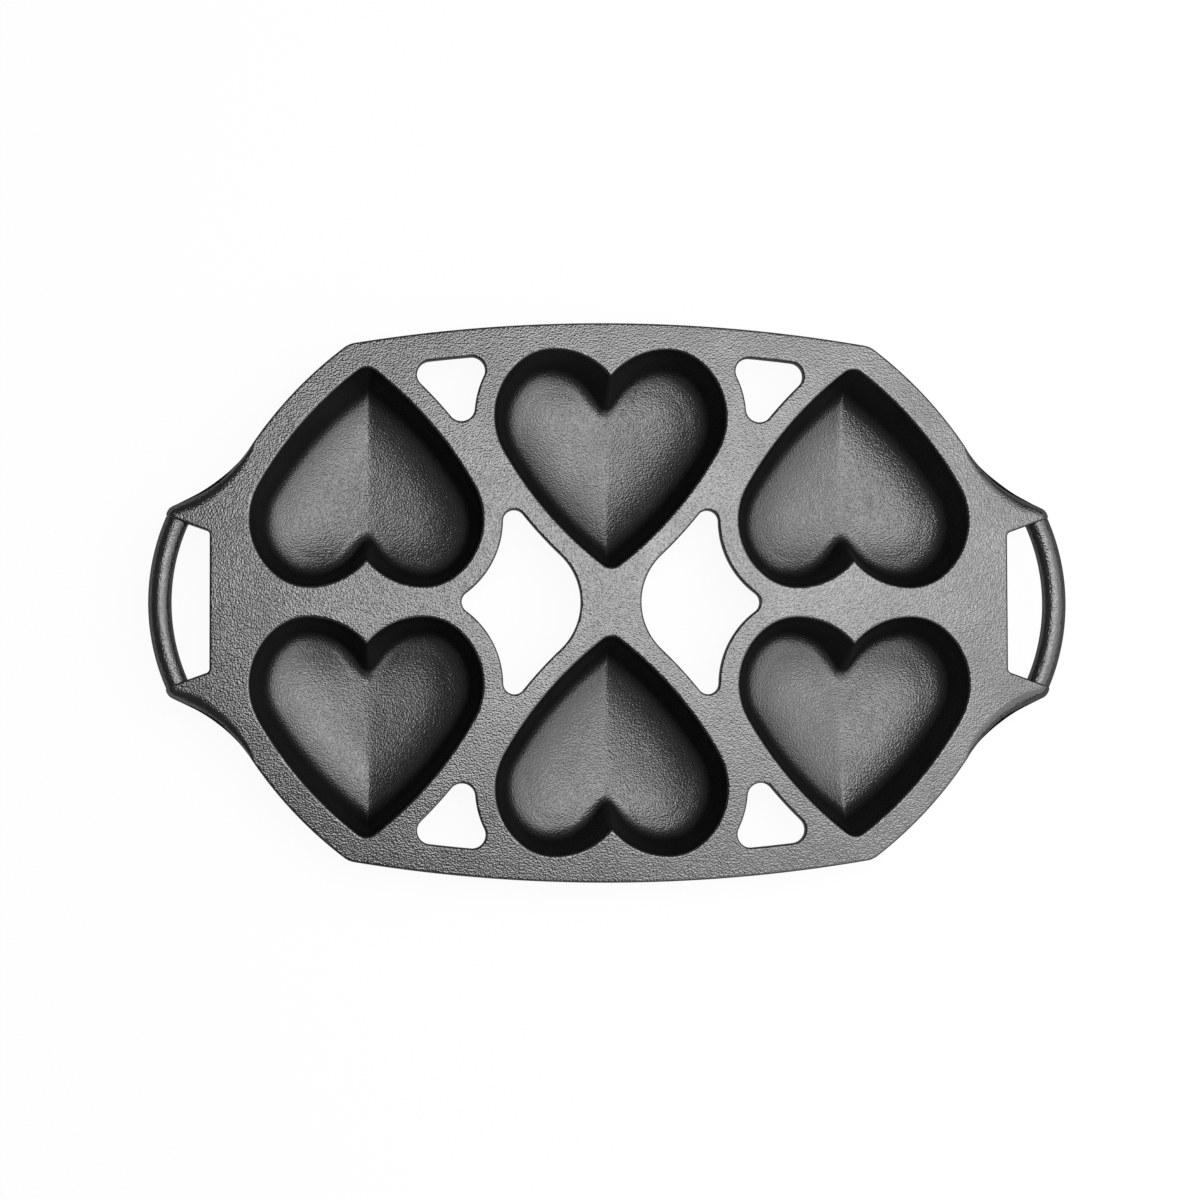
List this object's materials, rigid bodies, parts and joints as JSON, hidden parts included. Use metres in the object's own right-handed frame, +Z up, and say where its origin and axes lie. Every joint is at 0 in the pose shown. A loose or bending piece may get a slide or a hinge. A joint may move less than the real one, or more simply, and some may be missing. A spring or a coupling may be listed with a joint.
{
  "type": "mini cake pan",
  "caption": "Flat cast iron baking pan with heart-shaped cups sunk in a windowed deck and a loop handle at each end.",
  "frame": {"origin": "middle of the pan on the surface that its cups stand on", "axes": "+X from the left handle to the right handle, +Y from the front row of cups to the back row, +Z up out of the cups"},
  "size_m": [0.3976, 0.241, 0.032],
  "materials": {
    "seasoned_iron": "sand-cast grain under a thin baked oil seasoning, dark grey, satin"
  },
  "bodies": {
    "root": {"deck": "seasoned_iron", "heart_cup_back_left": "seasoned_iron", "heart_cup_back_middle": "seasoned_iron", "heart_cup_back_right": "seasoned_iron", "heart_cup_front_left": "seasoned_iron", "heart_cup_front_middle": "seasoned_iron", "heart_cup_front_right": "seasoned_iron", "left_grip": "seasoned_iron", "right_grip": "seasoned_iron"}
  },
  "joints": []
}
